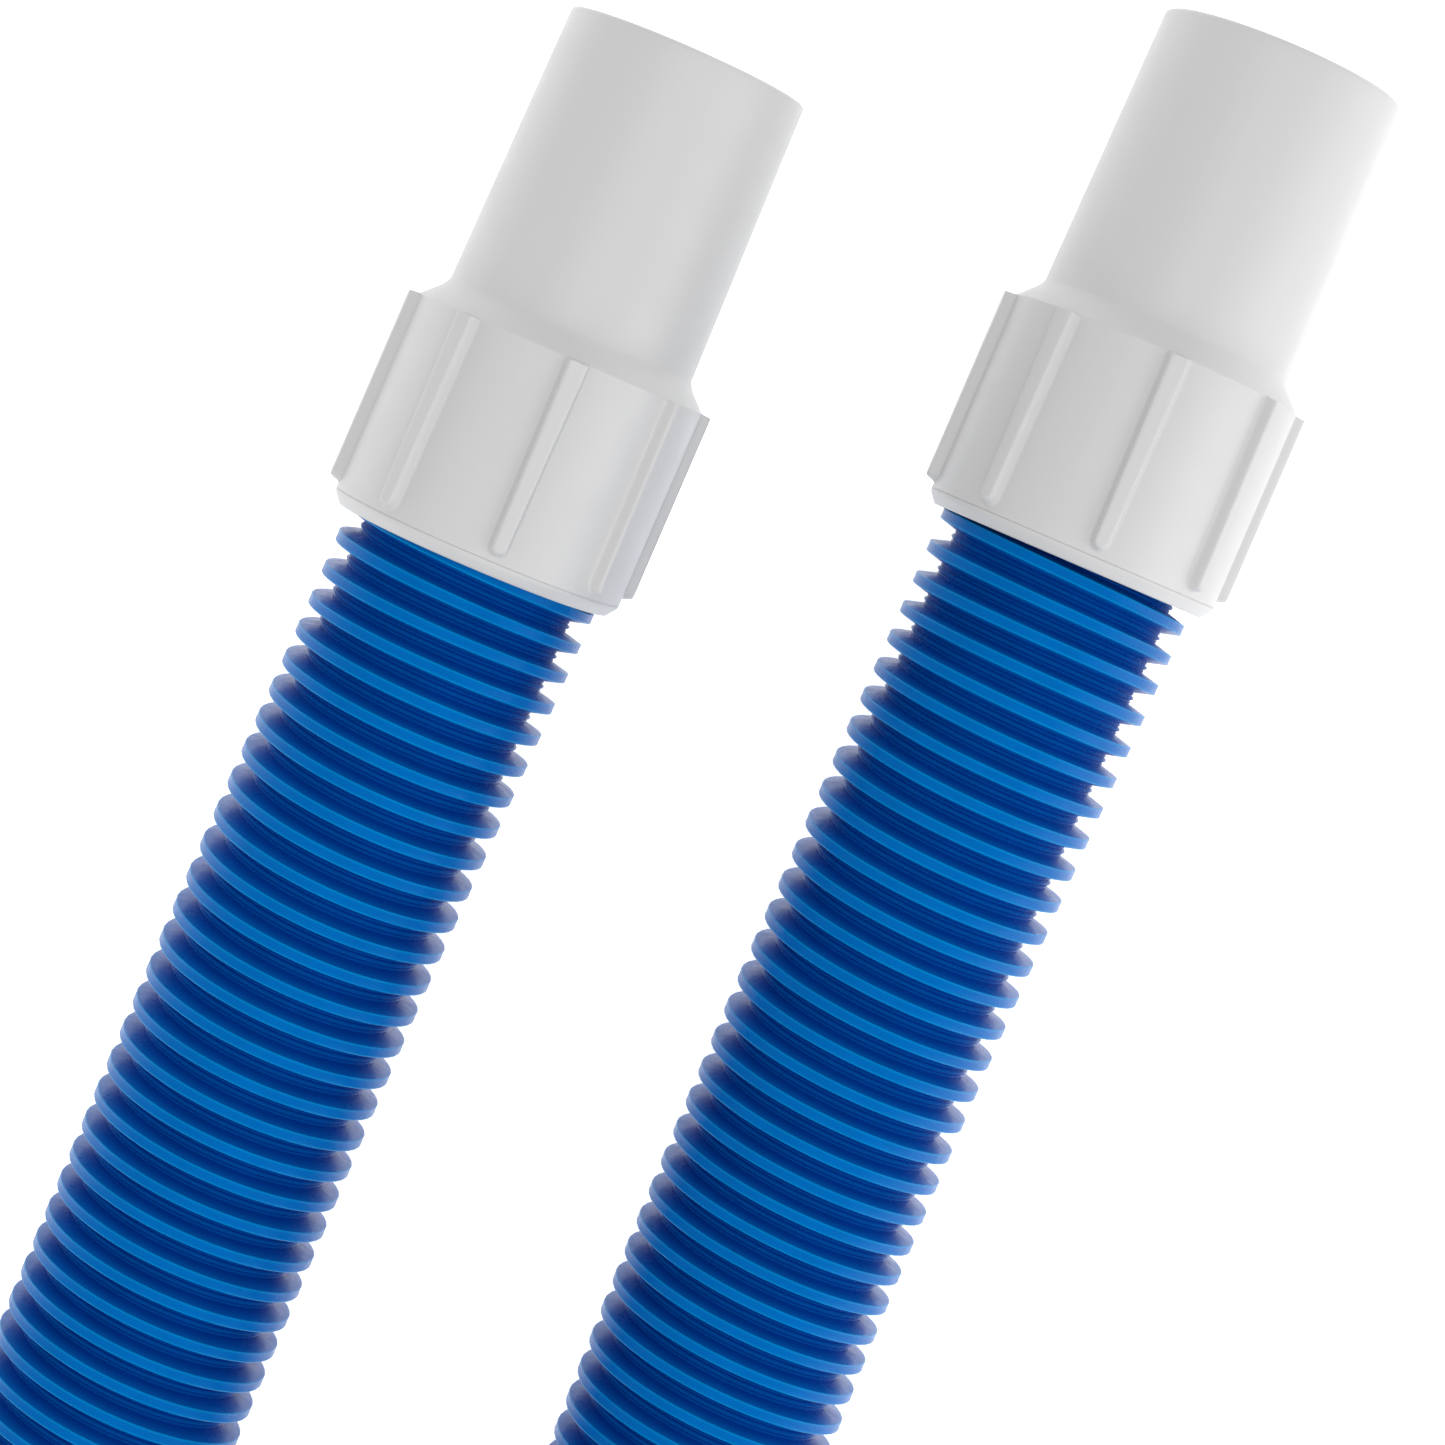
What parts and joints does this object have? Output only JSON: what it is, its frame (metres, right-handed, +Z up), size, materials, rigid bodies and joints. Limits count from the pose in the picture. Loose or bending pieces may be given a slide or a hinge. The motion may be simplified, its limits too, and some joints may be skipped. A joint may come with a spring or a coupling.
{
  "type": "pool vacuum hose",
  "caption": "Helically ribbed blue pool vacuum hose with a ribbed white swivel cuff on each end, its spare length wound in a strapped coil behind the ends.",
  "frame": {"origin": "on the floor, under the centre of the box round the two cuffs", "axes": "+Y along both cuffs, out of their spigots; +X across from cuff a to cuff b; +Z up"},
  "size_m": [0.5705, 0.9973, 0.0989],
  "materials": {
    "cuff_plastic": "satin white injection-moulded plastic",
    "insert_plastic": "satin off-white injection-moulded plastic",
    "hose_plastic": "semi-gloss extruded blue plastic, wound and welded",
    "seal_rubber": "matt black rubber",
    "strap_webbing": "woven dark hook-and-loop webbing"
  },
  "bodies": {
    "hose": {"hose_end_a": "hose_plastic", "hose_end_b": "hose_plastic", "hose_run_a": "hose_plastic", "hose_run_b": "hose_plastic", "hose_coil": "hose_plastic", "coil_strap_1": "strap_webbing", "coil_strap_2": "strap_webbing", "coil_strap_3": "strap_webbing", "threaded_insert_a": "insert_plastic", "threaded_insert_b": "insert_plastic"},
    "cuff_a": {"cuff_body_a": "cuff_plastic", "sealing_washer_a": "seal_rubber", "retaining_ring_a": "cuff_plastic"},
    "cuff_b": {"cuff_body_b": "cuff_plastic", "sealing_washer_b": "seal_rubber", "retaining_ring_b": "cuff_plastic"}
  },
  "joints": [
    {"name": "cuff_a_swivel", "type": "hinge", "parent": "hose", "child": "cuff_a", "pos_m": [-0.048, -0.04, 0.02878], "axis": [0, 1, 0], "continuous": true},
    {"name": "cuff_b_swivel", "type": "hinge", "parent": "hose", "child": "cuff_b", "pos_m": [0.048, 0.001, 0.02878], "axis": [0, 1, 0], "continuous": true}
  ]
}
